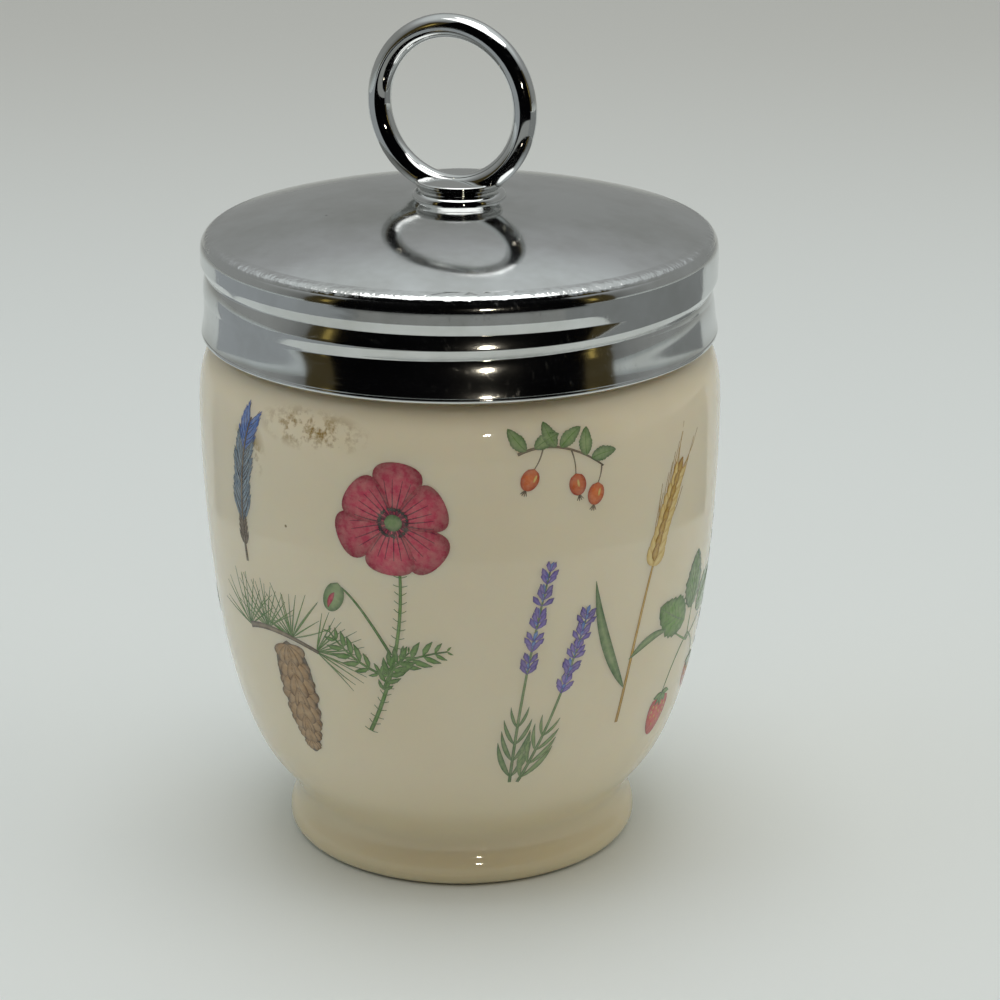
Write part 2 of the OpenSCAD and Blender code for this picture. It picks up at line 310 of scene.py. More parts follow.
# sizes in mm; the scratches are drawn 0.3 mm wide so that they show, in a turned and stretched grain
plating = {"hazeMm": 11.111, "scratchMm": (6.25, 0.3125, 1.1111), "scratchTurn": (0.2, 0.3, 0.9),
           "scratchRough": 0.1, "pitMm": 3.8462, "pitRim": 0.05, "pitCore": 0.02, "pit": "#4a4844",
           "smudgeMm": 18.182, "smudge": "#bdbebb", "waveMm": 8.3333, "waveHigh": 0.3, "waveStrength": 0.06,
           "dentMm": 1.0526, "dentHigh": 0.2, "dentInner": 0.15, "dentOuter": 0.5}


def platedSteel(name, tint, low, high, pitted, worn=0.0, edgeZ=0.0):
    # bright nickel and chromium plate over pressed steel: a grey mirror, hazed by years of wiping,
    # with pinhead pits; low and high are its roughness, worn is how dented its top edge is
    p = plating
    material, tree, shader = newMaterial(name)
    where = addNode(tree, "ShaderNodeTexCoord").outputs["Object"]
    haze = addNode(tree, "ShaderNodeTexNoise", None, {
        "Vector": where, "Scale": perMetre(p["hazeMm"]), "Detail": 6, "Roughness": 0.65})
    rough = addNode(tree, "ShaderNodeMapRange", None, {
        "Value": haze.outputs["Fac"], "From Min": 0.35, "From Max": 0.7, "To Min": low, "To Max": high})
    turned = addNode(tree, "ShaderNodeMapping", None, {
        "Vector": where, "Rotation": p["scratchTurn"], "Scale": [perMetre(size) for size in p["scratchMm"]]})
    grain = addNode(tree, "ShaderNodeTexNoise", None, {
        "Vector": turned.outputs["Vector"], "Scale": 1, "Detail": 2})
    scratch = addNode(tree, "ShaderNodeMapRange", None, {
        "Value": grain.outputs["Fac"], "From Min": 0.62, "From Max": 0.72, "To Max": p["scratchRough"]})
    rougher = addNode(tree, "ShaderNodeMath", {"operation": "ADD"}, {
        0: rough.outputs["Result"], 1: scratch.outputs["Result"]})
    tree.links.new(rougher.outputs[0], shader.inputs["Roughness"])
    pit = addNode(tree, "ShaderNodeTexVoronoi", None, {"Vector": where, "Scale": perMetre(p["pitMm"])})
    hole = addNode(tree, "ShaderNodeMapRange", None, {
        "Value": pit.outputs["Distance"], "From Min": p["pitRim"], "From Max": p["pitCore"]})
    pick = addNode(tree, "ShaderNodeMath", {"operation": "GREATER_THAN"}, {
        0: pit.outputs["Color"], 1: 1 - pitted})
    dark = addNode(tree, "ShaderNodeMath", {"operation": "MULTIPLY"}, {
        0: hole.outputs["Result"], 1: pick.outputs[0]})
    smudge = addNode(tree, "ShaderNodeTexNoise", None, {
        "Vector": where, "Scale": perMetre(p["smudgeMm"]), "Detail": 4, "Roughness": 0.7})
    faded = addNode(tree, "ShaderNodeMapRange", None, {
        "Value": smudge.outputs["Fac"], "From Min": 0.4, "From Max": 0.7})
    plate = addNode(tree, "ShaderNodeMix", {"data_type": "RGBA"}, {
        "Factor": faded.outputs["Result"], "A": hexColour(tint), "B": hexColour(p["smudge"])})
    tone = addNode(tree, "ShaderNodeMix", {"data_type": "RGBA"}, {
        "Factor": dark.outputs[0], "A": plate.outputs["Result"], "B": hexColour(p["pit"])})
    tree.links.new(tone.outputs["Result"], shader.inputs["Base Color"])
    wave = addNode(tree, "ShaderNodeTexNoise", None, {
        "Vector": where, "Scale": perMetre(p["waveMm"]), "Detail": 2})
    bump = addNode(tree, "ShaderNodeBump", None, {
        "Height": wave.outputs["Fac"], "Strength": p["waveStrength"], "Distance": p["waveHigh"] * mm})
    if worn:
        # dents of half a millimetre, in a band along the rounded top edge only
        high = addNode(tree, "ShaderNodeSeparateXYZ", None, {"Vector": where}).outputs["Z"]
        sides = [addNode(tree, "ShaderNodeMapRange", None, {
            "Value": high, "From Min": (edgeZ + side * p["dentOuter"]) * mm,
            "From Max": (edgeZ + side * p["dentInner"]) * mm}).outputs["Result"] for side in (-1, 1)]
        band = addNode(tree, "ShaderNodeMath", {"operation": "MULTIPLY"}, {0: sides[0], 1: sides[1]})
        dents = addNode(tree, "ShaderNodeTexNoise", None, {
            "Vector": where, "Scale": perMetre(p["dentMm"]), "Detail": 3})
        dented = addNode(tree, "ShaderNodeMath", {"operation": "MULTIPLY"}, {
            0: dents.outputs["Fac"], 1: band.outputs[0]})
        bump = addNode(tree, "ShaderNodeBump", None, {
            "Height": dented.outputs[0], "Strength": worn, "Distance": p["dentHigh"] * mm,
            "Normal": bump.outputs["Normal"]})
    tree.links.new(bump.outputs["Normal"], shader.inputs["Normal"])
    shader.inputs["Metallic"].default_value = 1.0
    return material


lidLow, lidHigh = [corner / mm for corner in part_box("lid_shell")]
glaze = porcelainGlaze()
enamel = overglazeEnamel()
topEdgeZ = lidLow.z + 12.6  # the middle of the lid's rounded top edge
lidPlate = platedSteel("lidPlatedSteel", "#d2d4d4", 0.07, 0.14, 0.25, worn=0.9, edgeZ=topEdgeZ)
ringPlate = platedSteel("ringPlatedSteel", "#d6d8d8", 0.03, 0.08, 0.0)
plainSteel = platedSteel("washerPlainSteel", "#a9abad", 0.25, 0.4, 0.2)
print("finishes made")

cupLow, cupHigh = [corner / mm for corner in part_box("cup")]
# mm; cornerRow is the point of the belly's outline up to which the corner is filled
cup = {"bellyR": cupHigh.x, "bellyZ": 58.0, "shoulderZ": 67.2, "neckR": 30.2, "wall": 3.0, "rimZ": cupHigh.z,
       "footR": 22.9, "footEdge": 1.7, "waistR": 21.9, "waistZ": 5.8, "bellyStart": 8.2, "cornerRow": 8,
       "contact": 1.0, "bevel": 0.7, "recess": 4.6, "recessCorner": 1.6, "floorZ": 8.2, "floorCorner": 8.0,
       "columns": 288}
# mm and degrees past startDeg; the groove in the lid and the ridge on the neck share one lead
thread = {"lead": 4.0, "startDeg": -104.0, "grooveZ": lidLow.z + 4.6, "levelDeg": 320.0, "fadeDeg": 28.0,
          "ridgeStart": 15.0, "ridgeSweep": 305.0, "ridgeHigh": 1.25, "ridgeRoot": 0.9, "ridgeTip": 0.3}
levelRise = thread["lead"] * thread["levelDeg"] / 360  # the groove's climb up to its level run-out


def bellyOutline(c, steps=48):
    return (cubic((c["waistR"], c["bellyStart"]), (c["bellyR"] - 1.6, c["bellyStart"] + 5),
                  (c["bellyR"], c["bellyZ"] - 14), (c["bellyR"], c["bellyZ"]), steps)
            + cubic((c["bellyR"], c["bellyZ"]), (c["bellyR"], c["bellyZ"] + 4.6),
                    (c["bellyR"] - 0.6, c["shoulderZ"] - 1), (c["neckR"], c["shoulderZ"]), steps // 2))


def cupOutline(c):
    # from the middle of the recess, round the foot and up the outside, then down the inside to the floor
    contactR = c["footR"] - c["footEdge"]
    recessR = contactR - c["contact"] - c["bevel"]
    cornerR, floorR = recessR - c["recessCorner"], c["footR"] - c["floorCorner"]
    mouthR, innerR, rimMid = c["neckR"] - c["wall"], c["bellyR"] - c["wall"], c["neckR"] - c["wall"] / 2
    foot = ([(0, c["recess"])] + line((1, c["recess"]), (cornerR, c["recess"]), 5)
            + cubic((cornerR, c["recess"]), (cornerR + 1, c["recess"]), (recessR, 3.4),
                    (recessR, c["bevel"]), 8)
            + arc((recessR + 0.5, c["bevel"]), 0.5, 180, 262, 4)
            + line((contactR - c["contact"], 0.05), (contactR, 0), 3)
            + arc((contactR, c["footEdge"]), c["footEdge"], -90, 0, 10)
            + cubic((c["footR"], c["footEdge"]), (c["footR"], 3.6), (c["waistR"], 3.7),
                    (c["waistR"], c["waistZ"]), 20))
    belly = bellyOutline(c)[c["cornerRow"]:]
    # the glaze fills the corner between foot and belly up to here, and meets the belly at its own slope
    r, z = belly[0]
    foot += cubic((c["waistR"], c["waistZ"]), (c["waistR"], c["waistZ"] + 2), (r - 1.6, z - 2.8), (r, z), 16)
    neck = line((c["neckR"], c["shoulderZ"]), (c["neckR"], c["rimZ"] - c["wall"] / 2), 58)
    rim = arc((rimMid, c["rimZ"] - c["wall"] / 2), c["wall"] / 2, 0, 180, 16)
    inside = (line((mouthR, c["rimZ"] - 1.7), (mouthR, c["shoulderZ"] - 0.7), 8)
              + cubic((mouthR, c["shoulderZ"] - 0.7), (mouthR, c["shoulderZ"] - 4),
                      (innerR, c["bellyZ"] + 3.8), (innerR, c["bellyZ"]), 16)
              + cubic((innerR, c["bellyZ"]), (innerR, c["bellyZ"] - 20), (innerR - 1.6, c["floorZ"] + 3.3),
                      (floorR, c["floorZ"]), 36)
              + line((floorR, c["floorZ"]), (1, c["floorZ"]), 6) + [(0, c["floorZ"])])
    return foot + belly + neck + rim + inside


def clamped(*shares):
    # the least of them, kept between 0 and 1
    return max(0.0, min(1.0, *shares))


def eased(share):
    return share * share * (3 - 2 * share)


def ridgeHeight(turn, z):
    # moulded ridge on the neck, half a lead above the lid's groove, with sloped flanks
    t = thread
    along = turn - t["ridgeStart"]
    ends = clamped(along / t["fadeDeg"], (t["ridgeSweep"] - along) / t["fadeDeg"])
    off = abs(z - t["grooveZ"] - t["lead"] * turn / 360 - t["lead"] / 2)
    return ends * t["ridgeHigh"] * eased(clamped((t["ridgeRoot"] - off) / (t["ridgeRoot"] - t["ridgeTip"])))


def makeCup():
    outline = cupOutline(cup)

    def section(turn):
        return [(r + ridgeHeight(turn, z), z) if abs(r - cup["neckR"]) < 0.01 else (r, z) for r, z in outline]

    mesh = turnedMesh("porcelainCup", section, cup["columns"], thread["startDeg"])
    made = addObject("porcelainCup", mesh, glaze)
    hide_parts("cup")
    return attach(made, "cup")


makeCup()
print("cup made")

# mm; flanks are how far the groove's slopes reach, and it starts and ends in degrees past startDeg
lid = {"sideR": 32.5, "bottomZ": lidLow.z, "crownZ": lidHigh.z, "sheet": 0.5, "seatR": 6.6, "domeRise": 4.3,
       "edgeR": 2.1, "holeR": 2.1, "drawIn": 0.3, "drawPower": 1.5, "flareOut": 0.46, "flarePower": 3.0,
       "waistUp": 0.4, "lipR": 0.42, "lipInnerR": 0.35, "lipTop": 0.75, "grooveDeep": 0.65, "flankUp": 1.4,
       "flankDown": 1.72, "flankLong": 4.4, "flankPower": 1.15, "longPower": 3.0, "fadeDeg": 38.0,
       "startsDeg": -12.0, "endsDeg": 450.0, "shortFrom": 300.0, "shortTo": 360.0, "filletHigh": 0.25,
       "filletFrom": 5.85, "filletWide": 1.9, "rowStep": 0.06, "columns": 360}


def domeZ(r):
    # a low parabola, flat under the boss, with a small fillet of plated solder round the boss
    share = max(r - lid["seatR"], 0) / (lid["sideR"] - lid["seatR"])
    across = (r - lid["filletFrom"]) / lid["filletWide"]
    fillet = (1 - across) ** 2 if 0 <= across < 1 else 0
    return lid["crownZ"] - lid["domeRise"] * share ** 2 + lid["filletHigh"] * fillet


def grooveDepth(turn, z):
    # rolled groove: a sharp crease between two flanks; it climbs a lead and runs out level
    t = thread
    deep = 0.0
    for wound in (turn - 360, turn, turn + 360):
        ends = eased(clamped((wound - lid["startsDeg"]) / lid["fadeDeg"],
                             (lid["endsDeg"] - wound) / lid["fadeDeg"]))
        off = z - t["grooveZ"] - t["lead"] * min(wound, t["levelDeg"]) / 360
        # the lower flank runs on to the lip, and is short only where the crease is wound above itself
        short = clamped((wound - lid["shortFrom"]) / (lid["shortTo"] - lid["shortFrom"]))
        down = lid["flankLong"] + (lid["flankDown"] - lid["flankLong"]) * short
        downPower = lid["longPower"] + (lid["flankPower"] - lid["longPower"]) * short
        share = max(0.0, 1 - abs(off) / (lid["flankUp"] if off > 0 else down))
        deep = max(deep, ends * lid["grooveDeep"] * share ** (lid["flankPower"] if off > 0 else downPower))
    return deep


def sideR(z):
    # before the groove is rolled: drawn in down to the first turn, then flared to the lip
    waist, top = thread["grooveZ"] + lid["waistUp"], thread["grooveZ"] + levelRise
    if z >= waist:
        return lid["sideR"] - lid["drawIn"] * (1 - min(1.0, (z - waist) / (top - waist))) ** lid["drawPower"]
    share = min(1.0, (waist - z) / (waist - lid["bottomZ"] - 0.5))
    return lid["sideR"] - lid["drawIn"] + lid["flareOut"] * share ** lid["flarePower"]


# the dome's slope where it meets the rounded top edge
lidSlope = math.degrees(math.atan(2 * lid["domeRise"] * (lid["sideR"] - lid["edgeR"] - lid["seatR"])
                                  / (lid["sideR"] - lid["seatR"]) ** 2))


def lidSection(turn):
    # from the hole over the dome, down the side and round the lip, then back up the inside
    low, sheet, edgeR = lid["bottomZ"], lid["sheet"], lid["edgeR"]
    turnR = lid["sideR"] - edgeR
    tilt = math.radians(lidSlope)
    turnZ = domeZ(turnR + edgeR * math.sin(tilt)) - edgeR * math.cos(tilt)
    fineLow, fineHigh = thread["grooveZ"] - lid["flankUp"], thread["grooveZ"] + levelRise + 1.5
    fineRows = round((fineHigh - fineLow) / lid["rowStep"])
    heights = [z for _, z in line((0, low + lid["lipTop"]), (0, fineLow), 12)
               + line((0, fineLow), (0, fineHigh), fineRows) + line((0, fineHigh), (0, turnZ), 4)]
    side = [(sideR(z) - grooveDepth(turn, z), z) for z in heights]
    flatEnd, filletEnd = lid["filletFrom"] - 0.05, lid["filletFrom"] + lid["filletWide"]
    domeR = [r for r, _ in line((lid["holeR"] * 2, 0), (flatEnd, 0), 3) + [(flatEnd, 0)]
             + line((lid["filletFrom"], 0), (filletEnd, 0), 12) + line((filletEnd, 0), (turnR, 0), 26)]
    lip = (arc((lid["sideR"] - 0.3, low + lid["lipR"]), lid["lipR"], 60, -90, 7)
           + arc((lid["sideR"] - 0.5, low + lid["lipInnerR"]), lid["lipInnerR"], -90, -180, 4))
    return ([(lid["holeR"], lid["crownZ"])] + [(r, domeZ(r)) for r in domeR]
            + arc((turnR, turnZ), edgeR, 90 - lidSlope, 0, 18) + side[::-1] + lip
            + [(r - sheet, z) for r, z in side[::3]] + arc((turnR, turnZ), edgeR - sheet, 0, 90 - lidSlope, 6)
            + [(r, domeZ(r) - sheet) for r in domeR[::-3]] + [(lid["holeR"], lid["crownZ"] - sheet)])


def makeLid():
    mesh = turnedMesh("screwLid", lidSection, lid["columns"], thread["startDeg"], 55)
    made = addObject("screwLid", mesh, lidPlate)
    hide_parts("lid_shell")
    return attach(made, "lid")


makeLid()
print("lid made")

ringLow, ringHigh = [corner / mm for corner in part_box("finger_ring")]
ring = {"wireR": ringHigh.y, "ringR": (ringHigh.x - ringLow.x) / 2 - ringHigh.y,
        "centre": Vector(((ringLow.x + ringHigh.x) / 2, 0, ringHigh.z - (ringHigh.x - ringLow.x) / 2)),
        "flatZ": ringLow.z, "around": 320, "sides": 56}
bossLow, bossHigh = [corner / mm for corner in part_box("boss")]
boss = {"footR": bossHigh.x, "topR": 5.5, "waistR": 5.1, "seatZ": lidHigh.z, "topZ": bossHigh.z, "edgeR": 0.3,
        "shankR": 2.0, "headR": 3.1, "headEdge": 0.6, "headZ": bossLow.z, "headHigh": 0.9, "solder": 0.05,
        "columns": 160}


def wireTree():
    # a wire of round section bent to a ring that stands in the XZ plane
    tree, given = newTree("wireRing", {"Ring Radius": "Float", "Wire Radius": "Float", "Centre": "Vector",
                                       "Steps Around": "Int", "Wire Sides": "Int", "Finish": "Material"})
    path = addNode(tree, "GeometryNodeCurvePrimitiveCircle", None, {
        "Resolution": given["Steps Around"], "Radius": given["Ring Radius"]})
    wire = addNode(tree, "GeometryNodeCurvePrimitiveCircle", None, {
        "Resolution": given["Wire Sides"], "Radius": given["Wire Radius"]})
    swept = addNode(tree, "GeometryNodeCurveToMesh", None, {
        "Curve": path.outputs["Curve"], "Profile Curve": wire.outputs["Curve"]})
    stood = addNode(tree, "GeometryNodeTransform", None, {
        "Geometry": swept.outputs["Mesh"], "Translation": given["Centre"], "Rotation": (math.pi / 2, 0, 0)})
    smooth = addNode(tree, "GeometryNodeSetShadeSmooth", None, {"Geometry": stood.outputs["Geometry"]})
    return closeTree(tree, smooth.outputs["Geometry"], given["Finish"])


def wireRing(name, extraR, sides):
    return fromTree(name, bpy.data.node_groups["wireRing"], {
        "Ring Radius": ring["ringR"] * mm, "Wire Radius": (ring["wireR"] + extraR) * mm,
        "Centre": ring["centre"] * mm, "Steps Around": ring["around"], "Wire Sides": sides,
        "Finish": ringPlate})


def makeRing():
    made = wireRing("wireFingerRing", 0, ring["sides"])
    for vertex in made.data.vertices:  # filed flat where it lies in the boss
        vertex.co.z = max(vertex.co.z, ring["flatZ"] * mm)
    tidyMesh(made.data, 60)
    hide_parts("finger_ring")
    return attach(made, "lid")


def bossSection(turn):
    # a plate over a shallow waist, over a foot that melts into the lid; the rivet is under it
    z, top, edgeR, footR = boss["seatZ"], boss["topZ"], boss["edgeR"], boss["footR"]
    innerR, waistR, foldR = boss["topR"] - boss["edgeR"], boss["waistR"] - 0.1, boss["waistR"] + 0.1
    headTop = boss["headZ"] + boss["headHigh"]
    return ([(0, top)] + line((0.5, top), (innerR, top), 6) + arc((innerR, top - edgeR), edgeR, 90, 0, 5)
            + arc((innerR, top - 0.55), edgeR, 0, -70, 4)
            + cubic((boss["topR"] - 0.25, z + 1.62), (waistR, z + 1.5), (waistR, z + 1.3),
                    (foldR, z + 1.15), 8)
            + cubic((foldR, z + 1.15), (footR - 0.25, z + 1.0), (footR, z + 0.7), (footR, z + 0.2), 10)
            + [(footR, z), (boss["shankR"] + 0.6, z), (boss["shankR"], z), (boss["shankR"], headTop)]
            + [(boss["headR"], headTop)]
            + arc((boss["headR"] - boss["headEdge"], headTop - 0.3), boss["headEdge"], 20, -90, 6)
            + [(0, boss["headZ"])])


def makeBoss():
    made = addObject("turnedBoss", turnedMesh("turnedBoss", bossSection, boss["columns"]), ringPlate)
    cutter = wireRing("solderGroove", boss["solder"], 36)  # the wire's seat, with room for solder
    cut = made.modifiers.new("groove", "BOOLEAN")
    cut.operation = "DIFFERENCE"
    cut.solver = "EXACT"
    cut.object = cutter
    applyModifiers(made)
    bpy.data.objects.remove(cutter)
    tidyMesh(made.data, 35)
    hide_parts("boss")
    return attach(made, "lid")


wireTree()
makeRing()
makeBoss()
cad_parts["backing_washer"].data.materials.clear()
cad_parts["backing_washer"].data.materials.append(plainSteel)
print("ring, boss and washer made")

# china paints, each as its pooled and its thinned colour
paints = {"violet": ("#39277a", "#9c8ad6"), "slate": ("#3a5068", "#a4b8c4"), "sky": ("#2f57a8", "#86abde"),
          "poppyRed": ("#86122f", "#e0506c"), "plum": ("#3f0f2c", "#8a2a4c"), "ink": ("#1f181d", "#463a40"),
          "hipRed": ("#9c2a16", "#ea8040"), "berryRed": ("#981824", "#df5648"),
          "moss": ("#2a5322", "#82ad58"), "sage": ("#46653f", "#9db47c"), "bark": ("#3b3028", "#a29078"),
          "scale": ("#4b3322", "#c7a172"), "ochre": ("#956619", "#e6c468"), "straw": ("#c79b3e", "#f0dc98")}
# the film's heights over the glaze in mm, the longest chord that follows the wall, and how paint pools
paintFilm = {"under": 0.03, "first": 0.018, "step": 0.009, "chord": 0.9, "thinnest": 0.03,
             "pool": 0.28, "tipPool": 0.35, "uneven": 0.12, "grain": 0.1}
# a stroke's half width from its root at 0 to its tip at 1
forms = {"leaf": lambda t: math.sin(math.pi * t ** 0.85) ** 0.85,
         "petal": lambda t: (t ** 0.75) * math.sqrt(max(0, 1 - t ** 5)) * 1.06,
         "stem": lambda t: 1 - 0.45 * t,
         "needle": lambda t: math.sqrt(max(0, 1 - t)) * min(1, 0.3 + 3 * t),
         "drop": lambda t: math.sqrt(max(0, 1 - (2 * t - 1) ** 2)),
         "berry": lambda t: math.sqrt(max(0, 1 - (2 * t ** 0.8 - 1) ** 2)) * (1.05 - 0.3 * t),
         "toothed": lambda t: math.sin(math.pi * t ** 0.8) ** 0.7 * (1.05 - 0.22 * ((t * 8) % 1))}
bluntForms = ("petal", "drop", "berry")
leastSteps = {"toothed": 18, "petal": 15, "drop": 15, "berry": 15, "leaf": 6, "stem": 6, "needle": 6}
shake = random.Random(12)


def newSheet():
    # strokes in flat mm, with a colour for each point
    return {"points": [], "faces": [], "paint": []}


def alongPath(path, t):
    a, b, c = path
    return tuple((1 - t) ** 2 * a[k] + 2 * t * (1 - t) * b[k] + t * t * c[k] for k in (0, 1))


def brush(sheet, path, width, form, paint, layer=0, rim=0.55, coarse=False):
    # one stroke: a thin closed slab along a bent path in flat mm, its colour pooled at rim and tip
    film = paintFilm
    dark, light = [hexColour(code)[:3] for code in paints[paint]]
    a, b, c = path
    length = math.dist(a, b) + math.dist(b, c)
    steps = 3 if coarse else max(leastSteps[form], math.ceil(length / film["chord"]))
    across = 2 if coarse else max(2, math.ceil(width / film["chord"]))
    top = film["first"] + film["step"] * layer
    first, ringSize = len(sheet["points"]), across + 3
    closing = 1.8 if form in bluntForms and not coarse else 1  # closer steps at a rounded tip
    tone = shake.uniform(-film["uneven"], film["uneven"])
    for i in range(steps + 1):
        t = 1 - (1 - i / steps) ** closing
        x, y = alongPath(path, t)
        dx, dy = [(1 - t) * (b[k] - a[k]) + t * (c[k] - b[k]) for k in (0, 1)]
        size = math.hypot(dx, dy) or 1
        half = max(film["thinnest"], width / 2 * forms[form](t))
        for j in range(across + 1):
            s = 2 * j / across - 1
            sheet["points"].append((x - dy / size * half * s, y + dx / size * half * s, top))
            pool = film["pool"] + tone + rim * abs(s) ** 3 + film["tipPool"] * (2 * t - 0.9) ** 2
            pool = max(0, min(1, pool + shake.uniform(-film["grain"], film["grain"])))
            sheet["paint"].append([light[k] + (dark[k] - light[k]) * pool for k in range(3)] + [1])
        for s in (1, -1):
            sheet["points"].append((x - dy / size * half * s, y + dx / size * half * s, -film["under"]))
            sheet["paint"].append(list(dark) + [1])
    for i in range(steps):
        here, there = first + i * ringSize, first + (i + 1) * ringSize
        for j in range(ringSize):
            k = (j + 1) % ringSize
            sheet["faces"].append((here + j, here + k, there + k, there + j))
    sheet["faces"].append(tuple(first + j for j in range(ringSize)))
    sheet["faces"].append(tuple(first + steps * ringSize + j for j in range(ringSize)))


def reach(at, angle, length, bend=0.0):
    # a path from a point, bent sideways by a share of its length
    x, y = math.cos(math.radians(angle)), math.sin(math.radians(angle))
    return (at, (at[0] + x * length / 2 - y * bend * length, at[1] + y * length / 2 + x * bend * length),
            (at[0] + x * length, at[1] + y * length))


def sheetMesh(name, sheet):
    mesh = bpy.data.meshes.new(name)
    mesh.from_pydata(sheet["points"], [], sheet["faces"])
    layer = mesh.color_attributes.new("paint", "FLOAT_COLOR", "POINT")
    for item, colour in zip(layer.data, sheet["paint"]):
        item.color = colour
    return mesh


def leafletTree():
    # strokes set in pairs along a path, which change in size from its start to its end
    tree, given = newTree("leafletRow", {
        "Leaflet": "Object", "Count": "Int", "Size Start": "Float", "Size End": "Float", "Bulge": "Float",
        "Spread": "Float", "Jitter": "Float", "Lift": "Float", "Both Sides": "Bool", "Seed": "Int",
        "Finish": "Material"}, geometryIn=True)
    path = addNode(tree, "GeometryNodeMeshToCurve", None, {"Mesh": given["Geometry"]})
    spaced = addNode(tree, "GeometryNodeResampleCurve", None, {
        "Curve": path.outputs["Curve"], "Count": given["Count"]})
    index = addNode(tree, "GeometryNodeInputIndex").outputs[0]
    high = addNode(tree, "ShaderNodeMath", {"operation": "MULTIPLY"}, {0: index, 1: given["Lift"]})
    offset = addNode(tree, "ShaderNodeCombineXYZ", None, {"Z": high.outputs[0]})
    lifted = addNode(tree, "GeometryNodeSetPosition", None, {
        "Geometry": spaced.outputs["Curve"], "Offset": offset.outputs[0]})
    share = addNode(tree, "GeometryNodeSplineParameter").outputs["Factor"]
    plain = addNode(tree, "ShaderNodeMix", {"data_type": "FLOAT"}, {
        "Factor": share, "A": given["Size Start"], "B": given["Size End"]})
    wave = addNode(tree, "ShaderNodeMath", {"operation": "MULTIPLY"}, {0: share, 1: math.pi})
    hump = addNode(tree, "ShaderNodeMath", {"operation": "SINE"}, {0: wave.outputs[0]})
    fuller = addNode(tree, "ShaderNodeMath", {"operation": "MULTIPLY_ADD"}, {
        0: hump.outputs[0], 1: given["Bulge"], 2: plain.outputs["Result"]})
    tangent = addNode(tree, "ShaderNodeSeparateXYZ", None, {
        "Vector": addNode(tree, "GeometryNodeInputTangent").outputs[0]})
    heading = addNode(tree, "ShaderNodeMath", {"operation": "ARCTAN2"}, {
        0: tangent.outputs["Y"], 1: tangent.outputs["X"]})
    leaflet = addNode(tree, "GeometryNodeObjectInfo", None, {"Object": given["Leaflet"]}).outputs["Geometry"]
    joined = addNode(tree, "GeometryNodeJoinGeometry")
    least = addNode(tree, "ShaderNodeMath", {"operation": "MULTIPLY"}, {0: given["Jitter"], 1: -1})
    stray = addNode(tree, "FunctionNodeRandomValue", {"data_type": "FLOAT"}, {
        "Min": least.outputs[0], "Max": given["Jitter"], "ID": index, "Seed": given["Seed"]})
    opening = addNode(tree, "ShaderNodeMath", {"operation": "ADD"}, {
        0: given["Spread"], 1: stray.outputs["Value"]})
    for side in (1, -1):
        angle = addNode(tree, "ShaderNodeMath", {"operation": "MULTIPLY_ADD"}, {
            0: opening.outputs[0], 1: side, 2: heading.outputs[0]})
        turned = addNode(tree, "ShaderNodeCombineXYZ", None, {"Z": angle.outputs[0]})
        mirrored = addNode(tree, "ShaderNodeMath", {"operation": "MULTIPLY"}, {0: fuller.outputs[0], 1: side})
        scale = addNode(tree, "ShaderNodeCombineXYZ", None, {
            "X": fuller.outputs[0], "Y": mirrored.outputs[0], "Z": 1})
        leaves = addNode(tree, "GeometryNodeInstanceOnPoints", None, {
            "Points": lifted.outputs["Geometry"], "Instance": leaflet, "Rotation": turned.outputs[0],
            "Scale": scale.outputs[0]}).outputs["Instances"]
        if side == -1:
            leaves = addNode(tree, "GeometryNodeSwitch", {"input_type": "GEOMETRY"}, {
                "Switch": given["Both Sides"], "True": leaves}).outputs["Output"]
        tree.links.new(leaves, joined.inputs["Geometry"])
    return closeTree(tree, joined.outputs["Geometry"], given["Finish"])


def pour(sheet, mesh):
    # adds a mesh of strokes to a sheet
    first = len(sheet["points"])
    sheet["points"] += [tuple(vertex.co) for vertex in mesh.vertices]
    sheet["paint"] += [list(item.color) for item in mesh.attributes["paint"].data]
    sheet["faces"] += [tuple(first + i for i in face.vertices) for face in mesh.polygons]


def row(sheet, leaflet, path, count, sizes, spread, bulge=0.0, jitter=0.06, lift=0.0, both=True, part=(0, 1)):
    # leaflets along a share of a path; leaflet is a sheet that holds one of them, pointing along x
    steps = 24
    marks = [alongPath(path, part[0] + (part[1] - part[0]) * i / steps) for i in range(steps + 1)]
    base = bpy.data.meshes.new("path")
    base.from_pydata([(x, y, 0) for x, y in marks], [(i, i + 1) for i in range(steps)], [])
    pattern = addObject("leaflet", sheetMesh("leaflet", leaflet))
    made = fromTree("row", bpy.data.node_groups["leafletRow"], {
        "Leaflet": pattern, "Count": count, "Size Start": float(sizes[0]), "Size End": float(sizes[1]),
        "Bulge": float(bulge), "Spread": math.radians(spread), "Jitter": float(jitter), "Lift": float(lift),
        "Both Sides": both, "Seed": shake.randrange(999), "Finish": enamel}, base)
    pour(sheet, made.data)
    bpy.data.objects.remove(made)
    bpy.data.objects.remove(pattern)


def leaflet(length, width, form, paint, layer=1, coarse=True, bend=0.12):
    sheet = newSheet()
    brush(sheet, reach((0, 0), 0, length, bend), width, form, paint, layer, coarse=coarse)
    return sheet


